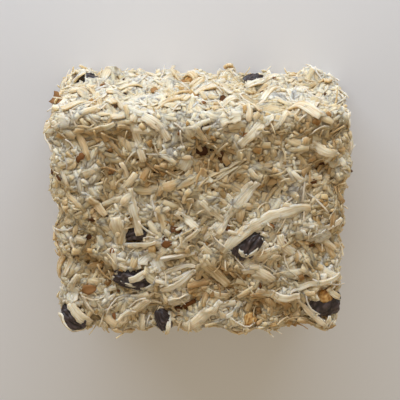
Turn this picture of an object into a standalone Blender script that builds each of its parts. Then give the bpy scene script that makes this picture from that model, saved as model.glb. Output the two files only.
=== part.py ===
"""A lamington cake: a small block coated all over in desiccated and shredded coconut, with
raisins and a few chopped nuts pressed into the coating.

The block lies on one large side. X runs along its width, Y along its height and +Z is up, with
the origin under the middle of its base. All sizes are in metres.
"""
import math

import bmesh
import bpy
import numpy as np

MM = 0.001

# The block, over its coating
WIDTH = 64 * MM
HEIGHT = 55 * MM
THICKNESS = 32 * MM
CORNER_RADIUS = 2.6 * MM
FUZZ = 2.1 * MM             # how far lumps and loose shreds stand out of the smooth block
CELL = 3.8 * MM             # spacing of the corners of the block's faces
BASE_DROP = 1.6 * MM        # how far the underside is let down before it is pressed flat
BASE_SPOT = 9 * MM          # radius of the spot under the middle where it lies quite flat

# Clumps of coconut that make the coating lumpy
LUMP_SEED = 11
LUMP_SPACING = 5.6 * MM
LUMP_RADIUS = (2.4 * MM, 4.8 * MM)
LUMP_HEIGHT = (0.1 * MM, 1.5 * MM)
PIT_DEPTH = 0.8 * MM

# Hollows where clumps came off. Those of the upper side: x and y, radius and depth in mm
UPPER_HOLLOWS = (
    (-15.5, 13.2, 4.0, 1.2),
    (-10.0, 13.6, 3.0, 1.7),
    (-25.5, 13.5, 3.8, 1.1),
    (-12.2, 6.2, 2.4, 1.0),
    (-24.0, -1.0, 3.6, 0.9),
    (-23.2, -8.6, 3.2, 1.4),
    (-0.5, 16.4, 3.0, 1.7),
    (5.0, 16.6, 3.4, 1.6),
    (8.6, 9.6, 3.2, 1.3),
    (14.6, 9.4, 3.8, 1.6),
    (25.6, 13.0, 2.8, 1.5),
    (31.0, 8.0, 4.2, 1.2),
    (8.0, -11.6, 3.8, 1.1),
    (2.6, -7.0, 2.8, 0.9),
    (-4.0, -19.4, 3.8, 1.2),
    (24.0, -6.0, 3.0, 1.0),
    (11.5, -19.0, 3.6, 1.1),
    (20.0, -20.5, 3.2, 1.1),
    (-12.5, -22.5, 3.0, 1.1),
    (-0.5, 3.6, 3.6, 0.8),
)
# The other five sides have one in each cell of a grid
HOLLOW_SEED = 17
HOLLOW_SPACING = 12 * MM
HOLLOW_RADIUS = (2.6 * MM, 4.2 * MM)
HOLLOW_DEPTH = (0.2 * MM, 1.5 * MM)

# Shreds of coconut
SHRED_SEED = 23
SHRED_SPACING = 10.3 * MM
SHRED_LENGTH = (5.5 * MM, 13 * MM)
SHRED_WIDTH = (1.3 * MM, 2.3 * MM)
SHRED_THICKNESS = 0.9 * MM
SHRED_NARROWING = 0.55      # how much of its width a shred loses at the ends
SHRED_STEPS = 4             # points along a shred
SHRED_FLOOR = 0.02 * MM     # shreds stay this far over the surface that the block lies on
SHRED_PROUD = 0.3 * MM      # height of a shred's middle over the coating
SHRED_RISE = 0.9 * MM       # how far a loose end may lift
UPPER_RISE = 0.27 * MM      # how far the ends lift on the upper side
SHRED_BEND = 0.35           # largest sideways bend, as a share of the length

# The longest shreds, which lie on the upper side: middle x and y in mm, turn in degrees, length
# and width in mm, and bend as a share of the length
UPPER_SHREDS = (
    (6.2, 3.5, 50, 18.2, 2.0, 0.00),
    (12.8, 1.9, 30, 21.0, 2.5, -0.45),
    (-8.6, 23.2, -50, 8.0, 2.0, -0.25),
    (-12.6, 19.8, -77, 9.5, 1.7, 0.00),
    (-14.0, 3.8, -80, 11.0, 2.2, 0.08),
    (-17.4, -0.8, -84, 7.6, 2.7, 0.00),
    (-21.6, 5.2, -52, 5.5, 1.7, 0.10),
    (-26.8, 2.4, 28, 5.8, 1.8, 0.20),
    (-2.7, 2.0, -38, 5.6, 1.7, 0.00),
    (11.4, 22.4, 45, 9.5, 2.0, 0.00),
    (18.5, -4.7, -50, 7.4, 2.1, 0.55),
    (13.0, -6.9, 34, 8.0, 3.0, 0.10),
    (12.9, -10.2, -14, 7.0, 1.7, -0.70),
    (17.0, -16.4, -6, 9.5, 1.7, 0.40),
    (24.4, -20.6, -44, 9.0, 1.3, 0.15),
    (25.3, -12.8, 19, 13.5, 1.3, -0.10),
    (0.6, -21.4, 40, 11.0, 2.6, 0.00),
    (-15.3, -20.8, 38, 10.5, 2.2, 0.10),
    (3.2, -10.8, -52, 9.0, 2.2, 0.10),
    (24.5, 18.0, -20, 7.0, 2.0, 0.20),
    (-25.0, -18.5, -60, 6.5, 1.7, 0.10),
    (-4.6, -12.9, 33, 9.0, 1.3, 0.20),
)

# Raisins: side of the block, place in mm along it and up it, length, width and depth in mm, and
# turn in degrees
UP, FAR, NEAR, LEFT, RIGHT, UNDER = "up", "far", "near", "left", "right", "under"
RAISINS = (
    (UP, -13.5, -1.8, 6.2, 4.2, 3.6, 15),
    (UP, -14.4, -12.2, 9.4, 5.6, 4.6, -8),
    (UP, 10.4, -4.0, 8.2, 5.2, 4.4, 44),
    (UP, 27.8, -19.0, 8.8, 7.6, 5.6, 20),
    (UP, -28.8, -22.2, 7.2, 5.4, 4.8, -55),
    (UP, -8.2, -23.0, 6.2, 3.6, 3.6, -72),
    (FAR, 12.2, 6.5, 6.4, 4.6, 4.2, 10),
    (FAR, -25.6, 7.0, 6.8, 4.8, 4.2, -30),
    (NEAR, 0.8, 24.0, 6.6, 4.8, 4.2, 12),
    (NEAR, 24.0, 9.5, 7.4, 5.4, 4.6, -25),
    (LEFT, 9.0, 14.0, 7.8, 5.8, 4.6, 35),
    (RIGHT, -8.0, 20.0, 7.2, 5.6, 4.6, 80),
    (RIGHT, 15.0, 9.5, 6.0, 4.6, 4.0, -15),
    (UNDER, -17.0, 11.0, 7.8, 5.6, 4.2, 30),
    (UNDER, 18.5, -12.0, 8.6, 6.0, 4.4, -40),
)
RAISIN_SEED = 100
RAISIN_GRID = 9, 8          # sides round a raisin, rings along it
RAISIN_SINK = 0.16          # how far its middle is pressed in, as a share of its depth
RAISIN_FOLDS = 3            # waves that fold its skin
FOLD_PITCH = 2.6            # turns of those waves across it, in radians
FOLD_REACH = 0.76, 0.34     # reach in a crease, and how much further a fold stands out

# Chopped nuts, given as the raisins are; the first is pressed into a raisin
RAISIN_UNDER_NUT = "raisin_04"
NUTS = (
    (UP, 27.4, -16.6, 4.2, 3.8, 3.4, 20),
    (UP, 11.1, -23.2, 3.8, 3.2, 3.0, 60),
    (FAR, -1.4, 6.5, 4.8, 3.6, 3.2, -20),
    (NEAR, -15.5, 12.0, 5.0, 3.8, 3.2, 35),
    (LEFT, -13.0, 21.0, 4.4, 3.6, 3.0, 10),
)
NUT_SEED = 200
NUT_GRID = 8, 6
NUT_SINK = 0.14
NUT_CUTS = 9                # flat faces broken off a nut
NUT_CUT_DEPTH = (0.72, 0.95)

# Raisins and nuts sit in pockets this much wider than they are, and shreds keep off them
POCKET_GAP = 0.42 * MM
SHRED_CLEARANCE = 0.9 * MM

# The shade of each kind of piece: colour, roughness
COCONUT = (0.72, 0.64, 0.48), 0.75
RAISIN = (0.030, 0.020, 0.015), 0.42
NUT = (0.55, 0.38, 0.19), 0.6

HALF = np.array((WIDTH, HEIGHT, THICKNESS)) / 2 - FUZZ
CENTRE = np.array((0.0, 0.0, THICKNESS / 2))
INNER = HALF - CORNER_RADIUS
TOP = CENTRE[2] + HALF[2]
SIDE_FACING = {
    UP: (0, 0, 1), FAR: (0, 1, 0), NEAR: (0, -1, 0),
    LEFT: (-1, 0, 0), RIGHT: (1, 0, 0), UNDER: (0, 0, -1),
}


def rounded_block(points):
    """Nearest points of the rounded block, and the directions in which they face: each point is
    clamped to an inner box, and the surface lies one corner radius out on the line back."""
    inner = np.clip(points - CENTRE, -INNER, INNER)
    away = points - CENTRE - inner
    facing = away / np.linalg.norm(away, axis=-1, keepdims=True)
    return CENTRE + inner + CORNER_RADIUS * facing, facing


def strewn(spacing, rng):
    """Places spread evenly over the six sides: each side is a grid of cells, with one place
    moved at random inside each cell."""
    places = []
    for axis in range(3):
        across, along = (axis + 1) % 3, (axis + 2) % 3
        columns, rows = (max(1, round(2 * HALF[k] / spacing)) for k in (across, along))
        cells = np.stack(np.meshgrid(np.arange(columns), np.arange(rows)), -1).reshape(-1, 2)
        for sign in (-1, 1):
            side = np.full((len(cells), 3), float(sign))
            side[:, (across, along)] = (cells + rng.random(cells.shape)) / (columns, rows) * 2 - 1
            places.append(CENTRE + side * HALF)
    return np.concatenate(places)


def clumps():
    """Middles of the clumps on the rounded block, their radii and their heights."""
    rng = np.random.default_rng(LUMP_SEED)
    middles = rounded_block(strewn(LUMP_SPACING, rng))[0]
    return middles, rng.uniform(*LUMP_RADIUS, len(middles)), rng.uniform(*LUMP_HEIGHT, len(middles))


def hollows():
    """Middles, radii and depths of the hollows: the listed ones of the upper side, and one in
    each cell of the other five."""
    listed = np.array(UPPER_HOLLOWS) * MM
    rng = np.random.default_rng(HOLLOW_SEED)
    places = strewn(HOLLOW_SPACING, rng)
    radii = rng.uniform(*HOLLOW_RADIUS, len(places))
    depths = rng.uniform(*HOLLOW_DEPTH, len(places))
    lower = places[:, 2] < TOP
    middles = np.column_stack((listed[:, :2], np.full(len(listed), TOP)))
    return (np.concatenate((middles, places[lower])), np.concatenate((listed[:, 2], radii[lower])),
            np.concatenate((listed[:, 3], depths[lower])))


LUMPS, LUMP_RADII, LUMP_HEIGHTS = clumps()
HOLLOWS, HOLLOW_RADII, HOLLOW_DEPTHS = hollows()


def relief(points):
    """Height of the coating over the rounded block: the highest of the clumps at that point,
    each one a dome that falls away with the square of the distance, over a pitted floor, less
    the deepest of the hollows, each one a bell curve."""
    distance = np.linalg.norm(points[..., None, :] - LUMPS, axis=-1) / LUMP_RADII
    domes = (LUMP_HEIGHTS + PIT_DEPTH) * (1 - distance**2) - PIT_DEPTH
    distance = np.linalg.norm(points[..., None, :] - HOLLOWS, axis=-1) / HOLLOW_RADII
    bells = HOLLOW_DEPTHS * np.exp(-distance**2)
    return np.maximum(domes.max(axis=-1), -PIT_DEPTH) - bells.max(axis=-1)


def coated(points, lift=0.0):
    """Points of the coating itself: out from the rounded block by the relief and the lift, let
    down under the block, and pressed flat where it rests on its base."""
    surface, facing = rounded_block(points)
    under = np.clip(-facing[..., 2], 0, 1)
    out = surface + facing * (relief(surface) + lift + BASE_DROP * under)[..., None]
    in_spot = (under > 0.99) & (np.hypot(out[..., 0], out[..., 1]) < BASE_SPOT)
    out[..., 2] = np.where(in_spot, 0, np.maximum(out[..., 2], 0))
    return out, facing


def new_object(name, vertices, faces, collection=None):
    """A mesh object of triangles from arrays of points and faces."""
    mesh = bpy.data.meshes.new(name)
    mesh.from_pydata(vertices, [], faces)
    bm = bmesh.new()
    bm.from_mesh(mesh)
    bmesh.ops.triangulate(bm, faces=bm.faces[:], quad_method="SHORT_EDGE")
    bm.to_mesh(mesh)
    bm.free()
    obj = bpy.data.objects.new(name, mesh)
    (collection or bpy.context.scene.collection).objects.link(obj)
    return obj


def material(name, colour, roughness):
    """A Principled material of one plain colour."""
    mat = bpy.data.materials.new(name)
    mat.use_nodes = True
    shader = mat.node_tree.nodes["Principled BSDF"]
    shader.inputs["Base Color"].default_value = (*colour, 1)
    shader.inputs["Roughness"].default_value = roughness
    shader.inputs["Metallic"].default_value = 0
    return mat


def block_body():
    """The lumpy block: a box of square cells, each corner moved out to the coating. Every side
    is a grid of whole-number places, and the places that two sides share are merged."""
    counts = np.array([max(2, round(2 * HALF[k] / CELL)) for k in range(3)])
    squares = []
    for axis in range(3):
        across, along = (axis + 1) % 3, (axis + 2) % 3
        a, b = (g.ravel() for g in np.meshgrid(np.arange(counts[across]), np.arange(counts[along])))
        for end in (0, counts[axis]):
            square = np.zeros((len(a), 4, 3), int)
            square[:, :, axis] = end
            square[:, :, across] = a[:, None] + np.array((0, 1, 1, 0))
            square[:, :, along] = b[:, None] + np.array((0, 0, 1, 1))
            squares.append(square if end else square[:, ::-1])
    places, faces = np.unique(np.concatenate(squares).reshape(-1, 3), axis=0, return_inverse=True)
    corners = CENTRE + (places / counts * 2 - 1) * HALF
    return new_object("cake", coated(corners)[0], faces.reshape(-1, 4))


def shred_rows():
    """Every shred of the solid: middle, heading, length, width, bend and the lift of its end.
    The listed ones of the upper side come first, then one in each cell of the other five."""
    listed = np.array(UPPER_SHREDS)
    turn = np.radians(listed[:, 2])
    count = len(listed)
    rng = np.random.default_rng(SHRED_SEED)
    places = strewn(SHRED_SPACING, rng)
    more = len(places)
    lengths = SHRED_LENGTH[0] + (SHRED_LENGTH[1] - SHRED_LENGTH[0]) * rng.random(more)**2
    widths = rng.uniform(*SHRED_WIDTH, more)
    headings = rng.normal(size=(more, 3))
    bends = rng.uniform(-SHRED_BEND, SHRED_BEND, more)
    lifts = SHRED_RISE * rng.random(more)
    lower = places[:, 2] < TOP
    return (
        np.concatenate((
            np.column_stack((listed[:, :2] * MM, np.full(count, THICKNESS))), places[lower])),
        np.concatenate((
            np.column_stack((np.cos(turn), np.sin(turn), np.zeros(count))), headings[lower])),
        np.concatenate((listed[:, 3] * MM, lengths[lower])),
        np.concatenate((listed[:, 4] * MM, widths[lower])),
        np.concatenate((listed[:, 5], bends[lower])),
        np.concatenate((np.full(count, UPPER_RISE), lifts[lower])),
    )


def shred_meshes():
    """Points of the shreds, as rings of three corners, flat on top with a keel that sits in the
    coating: a parabola laid from each middle along its heading, pressed onto the coating, with
    one end lifting and both ends narrowing."""
    middles, headings, lengths, widths, bends, lifts = shred_rows()
    facing = rounded_block(middles)[1]
    headings = headings - (headings * facing).sum(-1, keepdims=True) * facing
    headings /= np.linalg.norm(headings, axis=-1, keepdims=True)
    sideways = np.cross(facing, headings)
    share = np.linspace(-0.5, 0.5, SHRED_STEPS)
    run = share[None, :, None] * lengths[:, None, None]
    swing = (bends * lengths)[:, None, None] * (share**2)[None, :, None]
    laid = middles[:, None] + run * headings[:, None] + swing * sideways[:, None]
    lift = lifts[:, None] * (share + 0.5)**2 + SHRED_PROUD
    path, out = coated(laid, lift)
    along = np.gradient(path, axis=1)
    across = np.cross(out, along)
    across /= np.linalg.norm(across, axis=-1, keepdims=True)
    taper = 1 - SHRED_NARROWING * (2 * np.abs(share))**3
    half = across * (widths[:, None] / 2 * taper)[..., None]
    thick = out * SHRED_THICKNESS / 2
    rings = np.stack((path - 2 * thick, path + half + thick, path - half + thick), axis=2)
    rings[..., 2] = np.maximum(rings[..., 2], SHRED_FLOOR)
    return rings, path


def strip_faces(steps):
    """Faces of a closed strip of three-cornered rings, facing out."""
    faces = [(2, 1, 0)]
    for start in range(0, 3 * (steps - 1), 3):
        for side in range(3):
            a, b = start + side, start + (side + 1) % 3
            faces += [(a, b, b + 3), (a, b + 3, a + 3)]
    last = 3 * (steps - 1)
    return faces + [(last, last + 1, last + 2)]


def seat(row):
    """Place on the coating of a topping, and its frame: its long axis, its side and out. On the
    upright sides x runs along the side and y is the height above the base."""
    side, x, y = row[:3]
    out = np.array(SIDE_FACING[side], float)
    if side in (UP, UNDER):
        along = np.array((1.0, 0.0, 0.0))
        place = np.array((x * MM, y * MM, THICKNESS if side == UP else 0.0))
    else:
        along = np.abs(np.cross(out, (0, 0, 1)))
        place = np.where(out != 0, CENTRE + out * HALF, along * x * MM + np.array((0, 0, y * MM)))
    facing = rounded_block(place[None])[1][0]
    along = along - facing * (along @ facing)
    along /= np.linalg.norm(along)
    turn = math.radians(row[6])
    axis = math.cos(turn) * along + math.sin(turn) * np.cross(facing, along)
    return coated(place[None])[0][0], np.array((axis, np.cross(facing, axis), facing))


def topping(name, row, sink, shape, grid, grow=0.0, collection=None):
    """A closed, round-ended lump on a grid of rings: the shape gives its reach in each
    direction, before it is stretched to size, turned, and sunk into the coating. A lump that is
    grown into a pocket goes right through the base where it comes near it."""
    sides, rings = grid
    place, frame = seat(row)
    polar = np.pi * np.arange(1, rings) / rings
    round_ = 2 * np.pi * np.arange(sides) / sides
    p, r = np.meshgrid(polar, round_, indexing="ij")
    ring = np.stack((np.cos(p), np.sin(p) * np.cos(r), np.sin(p) * np.sin(r)), -1).reshape(-1, 3)
    ways = np.concatenate((((1.0, 0, 0),), ring, ((-1.0, 0, 0),)))
    local = ways * shape(ways)[:, None] * np.array(row[3:6]) * MM / 2
    local *= 1 + grow / np.linalg.norm(local, axis=1, keepdims=True)
    points = place - frame[2] * sink * row[5] * MM + local @ frame
    if grow:
        near_base = points[:, 2] < 1.2 * grow
        points[near_base, 2] -= 2 * grow
    else:
        points[:, 2] = np.maximum(points[:, 2], 0.0)
    k = np.arange(sides)
    after = (k + 1) % sides
    starts = 1 + np.arange(rings - 2)[:, None, None] * sides
    quads = (starts + np.stack((k, k + sides, after + sides, after), -1)).reshape(-1, 4)
    end = len(points) - 1
    first = np.column_stack((np.zeros(sides, int), 1 + k, 1 + after))
    last = np.column_stack((end - sides + after, end - sides + k, np.full(sides, end)))
    return new_object(name, points, quads.tolist() + first.tolist() + last.tolist(), collection)


def raisin_shape(number):
    """Reach of a raisin in each direction: folds where waves of three directions turn, each
    wave a crease as sharp as the bend in the absolute value of a sine."""
    rng = np.random.default_rng(RAISIN_SEED + number)
    waves = rng.normal(size=(RAISIN_FOLDS, 3)) * FOLD_PITCH
    phases = rng.uniform(0, np.pi, RAISIN_FOLDS)
    crease, fold = FOLD_REACH
    return lambda ways: crease + fold * np.abs(np.sin(ways @ waves.T + phases)).mean(axis=-1)


def nut_shape(number):
    """Reach of a piece of nut: a ball cut by seeded planes, so that it is all flat facets."""
    rng = np.random.default_rng(NUT_SEED + number)
    planes = rng.normal(size=(NUT_CUTS, 3))
    planes /= np.linalg.norm(planes, axis=1, keepdims=True)
    depths = rng.uniform(*NUT_CUT_DEPTH, NUT_CUTS)
    return lambda ways: 1 / np.maximum((ways @ planes.T / depths).max(axis=1), 1)


def apply_boolean(obj, operation, collection):
    """Join or cut the object with everything in the collection, apply it, and remove them."""
    modifier = obj.modifiers.new(operation.lower(), "BOOLEAN")
    modifier.operation = operation
    modifier.operand_type = "COLLECTION"
    modifier.collection = collection
    modifier.solver = "MANIFOLD"
    bpy.context.view_layer.update()
    evaluated = obj.evaluated_get(bpy.context.evaluated_depsgraph_get())
    result = bpy.data.meshes.new_from_object(evaluated)
    obj.modifiers.clear()
    obj.data = result
    for member in list(collection.objects):
        bpy.data.objects.remove(member)
    bpy.data.collections.remove(collection)


def keep_largest(obj):
    """Drop loose scraps and fill sealed hollows: only the outermost closed skin is kept."""
    bm = bmesh.new()
    bm.from_mesh(obj.data)
    left = set(bm.verts)
    skins = []
    while left:
        skin, edge = set(), [left.pop()]
        while edge:
            vertex = edge.pop()
            skin.add(vertex)
            near = {e.other_vert(vertex) for e in vertex.link_edges} & left
            left -= near
            edge.extend(near)
        skins.append(skin)
    skins.sort(key=len)
    for skin in skins[:-1]:
        bmesh.ops.delete(bm, geom=list(skin), context="VERTS")
    bm.to_mesh(obj.data)
    bm.free()


def finish(obj, mat):
    """One material over the whole piece, shaded smooth."""
    obj.data.materials.clear()
    obj.data.materials.append(mat)
    obj.data.shade_smooth()


def hidden_collection(name):
    """A collection of shapes that are joined to the block or cut from it."""
    collection = bpy.data.collections.new(name)
    bpy.context.scene.collection.children.link(collection)
    return collection


def join_shreds(cake, toppings):
    """Fuse the shreds to the block, but for those that would come too near to a topping."""
    keep_off = [(seat(row)[0], max(row[3:5]) * MM / 2) for _, _, row, *_ in toppings]
    shreds = hidden_collection("shreds")
    faces = strip_faces(SHRED_STEPS)
    for number, (ring, path) in enumerate(zip(*shred_meshes())):
        fine = np.linspace(path[:-1], path[1:], 5).reshape(-1, 3)
        room = min(np.linalg.norm(fine - place, axis=1).min() - reach for place, reach in keep_off)
        if room > SHRED_CLEARANCE:
            new_object(f"shred_{number}", ring.reshape(-1, 3), faces, shreds)
    apply_boolean(cake, "UNION", shreds)
    keep_largest(cake)


def cut_pockets(cake, toppings):
    """Cut the pocket of every topping out of the block."""
    pockets = hidden_collection("pockets")
    for _, name, *shape in toppings:
        topping(name + "_pocket", *shape, POCKET_GAP, pockets)
    apply_boolean(cake, "DIFFERENCE", pockets)
    keep_largest(cake)


def build():
    """The block with its shreds, then the raisins and nuts in their pockets."""
    for old in list(bpy.data.objects):
        bpy.data.objects.remove(old)

    toppings = []
    for number, row in enumerate(RAISINS, 1):
        toppings.append(
            ("raisin", f"raisin_{number:02d}", row, RAISIN_SINK, raisin_shape(number), RAISIN_GRID))
    for number, row in enumerate(NUTS, 1):
        toppings.append(
            ("nut", f"nut_piece_{number}", row, NUT_SINK, nut_shape(number), NUT_GRID))

    cake = block_body()
    join_shreds(cake, toppings)
    cut_pockets(cake, toppings)
    finish(cake, material("coconut", *COCONUT))

    finishes = {"raisin": material("raisin", *RAISIN), "nut": material("nut", *NUT)}
    for kind, name, *shape in toppings:
        piece = topping(name, *shape)
        if name == RAISIN_UNDER_NUT:
            first_nut = toppings[len(RAISINS)][2:]
            dent = hidden_collection("dent")
            topping("dent", *first_nut, POCKET_GAP, dent)
            apply_boolean(piece, "DIFFERENCE", dent)
            keep_largest(piece)
        finish(piece, finishes[kind])


build()
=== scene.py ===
import math

import bpy
import numpy as np
from mathutils import Matrix, Vector


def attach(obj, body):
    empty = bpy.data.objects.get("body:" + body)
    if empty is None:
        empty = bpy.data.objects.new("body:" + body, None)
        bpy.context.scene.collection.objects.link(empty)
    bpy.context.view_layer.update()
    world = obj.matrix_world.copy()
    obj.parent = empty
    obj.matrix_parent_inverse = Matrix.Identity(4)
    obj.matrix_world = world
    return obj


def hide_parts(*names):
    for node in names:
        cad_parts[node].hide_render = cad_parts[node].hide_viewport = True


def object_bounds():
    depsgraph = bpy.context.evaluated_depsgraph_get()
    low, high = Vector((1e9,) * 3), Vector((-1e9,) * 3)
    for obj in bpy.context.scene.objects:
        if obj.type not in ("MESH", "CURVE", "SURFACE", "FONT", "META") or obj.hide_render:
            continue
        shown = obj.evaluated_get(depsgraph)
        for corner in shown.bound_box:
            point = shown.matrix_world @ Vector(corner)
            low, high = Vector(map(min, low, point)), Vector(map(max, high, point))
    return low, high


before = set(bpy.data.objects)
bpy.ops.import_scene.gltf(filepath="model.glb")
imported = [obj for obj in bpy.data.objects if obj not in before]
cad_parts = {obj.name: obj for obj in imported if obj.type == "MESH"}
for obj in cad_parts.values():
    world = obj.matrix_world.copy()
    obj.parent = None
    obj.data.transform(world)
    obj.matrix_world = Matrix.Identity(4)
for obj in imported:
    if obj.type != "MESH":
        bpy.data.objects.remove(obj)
cad_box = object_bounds()
MM = 0.001

# Coated block
# The body of the cake under its loose coconut: fine desiccated coconut stuck in a thin coat of
# syrup, pressed on by hand, so that it stands in clumps with pits between them.
WIDTH, HEIGHT, THICKNESS = 64 * MM, 55 * MM, 32 * MM
CORNER_RADIUS = 2.6 * MM
FUZZ = 2.1 * MM                 # how far lumps and loose shreds stand out of the smooth block
BASE_DROP = 1.6 * MM            # how far the underside is let down before it is pressed flat
BASE_SPOT = 9 * MM              # radius of the spot under the middle where it lies flat
BASE_FACING = 0.99              # the spot ends where the block faces less straight down than this
LUMP_SPACING = 5.6 * MM
LUMP_RADIUS = (2.4 * MM, 4.8 * MM)
LUMP_HEIGHT = (0.1 * MM, 1.5 * MM)
LUMP_SEED = 11
PIT_DEPTH = 0.8 * MM
BED_CELL = 0.42 * MM            # spacing of the bed's points, half the width of a grain
BED_DROP = 0.45 * MM            # the bed lies this far under the loose coconut on it
CRUMB_WAVE = 1.5 * MM           # width of the crumbs in the bed
CRUMB_HEIGHT = 0.3 * MM
FINE_CRUMBS = 0.6               # height of the crumbs half as wide, as a share of the others'
CRUMB_SEED, FINE_CRUMB_SEED = 31, 32
# Hollows where clumps came off. Those of the upper side: x and y, radius and depth in mm
UPPER_HOLLOWS = (
    (-15.5, 13.2, 4.0, 1.2),
    (-10.0, 13.6, 3.0, 1.7),
    (-25.5, 13.5, 3.8, 1.1),
    (-12.2, 6.2, 2.4, 1.0),
    (-24.0, -1.0, 3.6, 0.9),
    (-23.2, -8.6, 3.2, 1.4),
    (-0.5, 16.4, 3.0, 1.7),
    (5.0, 16.6, 3.4, 1.6),
    (8.6, 9.6, 3.2, 1.3),
    (14.6, 9.4, 3.8, 1.6),
    (25.6, 13.0, 2.8, 1.5),
    (31.0, 8.0, 4.2, 1.2),
    (8.0, -11.6, 3.8, 1.1),
    (2.6, -7.0, 2.8, 0.9),
    (-4.0, -19.4, 3.8, 1.2),
    (24.0, -6.0, 3.0, 1.0),
    (11.5, -19.0, 3.6, 1.1),
    (20.0, -20.5, 3.2, 1.1),
    (-12.5, -22.5, 3.0, 1.1),
    (-0.5, 3.6, 3.6, 0.8),
)
HOLLOW_SPACING = 12 * MM        # the other five sides have one hollow in each cell of this size
HOLLOW_RADIUS = (2.6 * MM, 4.2 * MM)
HOLLOW_DEPTH = (0.2 * MM, 1.5 * MM)
HOLLOW_SEED = 17
BATCH = 20000                   # points worked out at a time, to spare memory

HALF = np.array((WIDTH, HEIGHT, THICKNESS)) / 2 - FUZZ
CENTRE = np.array((0.0, 0.0, THICKNESS / 2))
INNER = HALF - CORNER_RADIUS


def rounded_block(points):
    """Nearest points of the rounded block, and the directions in which they face: each point is
    clamped to an inner box, and the surface lies one corner radius out on the line back."""
    inner = np.clip(points - CENTRE, -INNER, INNER)
    away = points - CENTRE - inner
    facing = away / np.linalg.norm(away, axis=-1, keepdims=True)
    return CENTRE + inner + CORNER_RADIUS * facing, facing


def strewn(spacing, rng):
    """Places spread evenly over the six sides: each side is a grid of cells, with one place
    moved at random inside each cell."""
    places = []
    for axis in range(3):
        across, along = (axis + 1) % 3, (axis + 2) % 3
        columns, rows = (max(1, round(2 * HALF[k] / spacing)) for k in (across, along))
        cells = np.stack(np.meshgrid(np.arange(columns), np.arange(rows)), -1).reshape(-1, 2)
        for sign in (-1, 1):
            side = np.full((len(cells), 3), float(sign))
            side[:, (across, along)] = (cells + rng.random(cells.shape)) / (columns, rows) * 2 - 1
            places.append(CENTRE + side * HALF)
    return np.concatenate(places)


lump_rng = np.random.default_rng(LUMP_SEED)
lumps = rounded_block(strewn(LUMP_SPACING, lump_rng))[0]
lump_radii = lump_rng.uniform(*LUMP_RADIUS, len(lumps))
lump_heights = lump_rng.uniform(*LUMP_HEIGHT, len(lumps))

hollow_rng = np.random.default_rng(HOLLOW_SEED)
hollow_places = strewn(HOLLOW_SPACING, hollow_rng)
hollow_radii = hollow_rng.uniform(*HOLLOW_RADIUS, len(hollow_places))
hollow_depths = hollow_rng.uniform(*HOLLOW_DEPTH, len(hollow_places))
lower = hollow_places[:, 2] < CENTRE[2] + HALF[2]
upper_hollows = np.array(UPPER_HOLLOWS) * MM
upper_places = np.column_stack((
    upper_hollows[:, :2], np.full(len(upper_hollows), CENTRE[2] + HALF[2])))
hollow_places = np.concatenate((upper_places, hollow_places[lower]))
hollow_radii = np.concatenate((upper_hollows[:, 2], hollow_radii[lower]))
hollow_depths = np.concatenate((upper_hollows[:, 3], hollow_depths[lower]))


def relief(points):
    """Height of the coating over the rounded block: the highest of the clumps at that point,
    each one a dome that falls away with the square of the distance, over a pitted floor, less
    the deepest of the hollows, each one a bell curve."""
    flat = points.reshape(-1, 3)
    heights = []
    for part in np.array_split(flat, len(flat) // BATCH + 1):
        distance = np.linalg.norm(part[:, None] - lumps, axis=-1) / lump_radii
        domes = (lump_heights + PIT_DEPTH) * (1 - distance**2) - PIT_DEPTH
        distance = np.linalg.norm(part[:, None] - hollow_places, axis=-1) / hollow_radii
        bells = hollow_depths * np.exp(-distance**2)
        heights.append(np.maximum(domes.max(axis=-1), -PIT_DEPTH) - bells.max(axis=-1))
    return np.concatenate(heights).reshape(points.shape[:-1])


def leaning(points):
    """Directions in which the coating itself faces, clumps and hollows included: the block's
    facing less the slope of the highest clump and of the deepest hollow."""
    surface, facing = rounded_block(points.reshape(-1, 3))
    slopes = []
    for part in np.array_split(surface, len(surface) // BATCH + 1):
        away = part[:, None] - lumps
        scale = (lump_heights + PIT_DEPTH) / lump_radii**2
        domes = (lump_heights + PIT_DEPTH) - scale * (away**2).sum(-1)
        top = domes.argmax(axis=1)
        rows = np.arange(len(part))
        dome_slope = -2 * scale[top, None] * away[rows, top] * (domes[rows, top] > 0)[:, None]
        away = part[:, None] - hollow_places
        bells = hollow_depths * np.exp(-(away**2).sum(-1) / hollow_radii**2)
        deep = bells.argmax(axis=1)
        bell_slope = 2 * (bells[rows, deep] / hollow_radii[deep]**2)[:, None] * away[rows, deep]
        slopes.append(dome_slope + bell_slope)
    slope = np.concatenate(slopes)
    slope -= (slope * facing).sum(-1, keepdims=True) * facing
    lean = facing - slope
    return (lean / np.linalg.norm(lean, axis=-1, keepdims=True)).reshape(points.shape)


def coated(points, lift=0.0):
    """Points of the coating itself, and the block's facing there: out from the rounded block by
    the relief and the lift, let down under the block, and pressed flat where it rests."""
    surface, facing = rounded_block(points)
    rise = relief(surface) + lift
    under = np.clip(-facing[..., 2], 0, 1)
    out = surface + facing * (rise + BASE_DROP * under)[..., None]
    in_spot = (under > BASE_FACING) & (np.hypot(out[..., 0], out[..., 1]) < BASE_SPOT)
    out[..., 2] = np.where(in_spot, 0, np.maximum(out[..., 2], 0))
    return out, facing


def ripple(points, wave, seed):
    """Smooth uneven field from -1 to 1: the mean of twelve sine waves of about one length, each
    in its own direction, turned up so that it fills its range."""
    waves = 12
    rng = np.random.default_rng(seed)
    ways = rng.normal(size=(waves, 3))
    ways *= 2 * np.pi / wave / np.linalg.norm(ways, axis=1, keepdims=True)
    ways *= rng.uniform(0.7, 1.4, (waves, 1))
    phases = rng.uniform(0, 2 * np.pi, waves)
    return np.clip(np.sin(points @ ways.T + phases).mean(-1) * 2.5, -1, 1)


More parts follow.
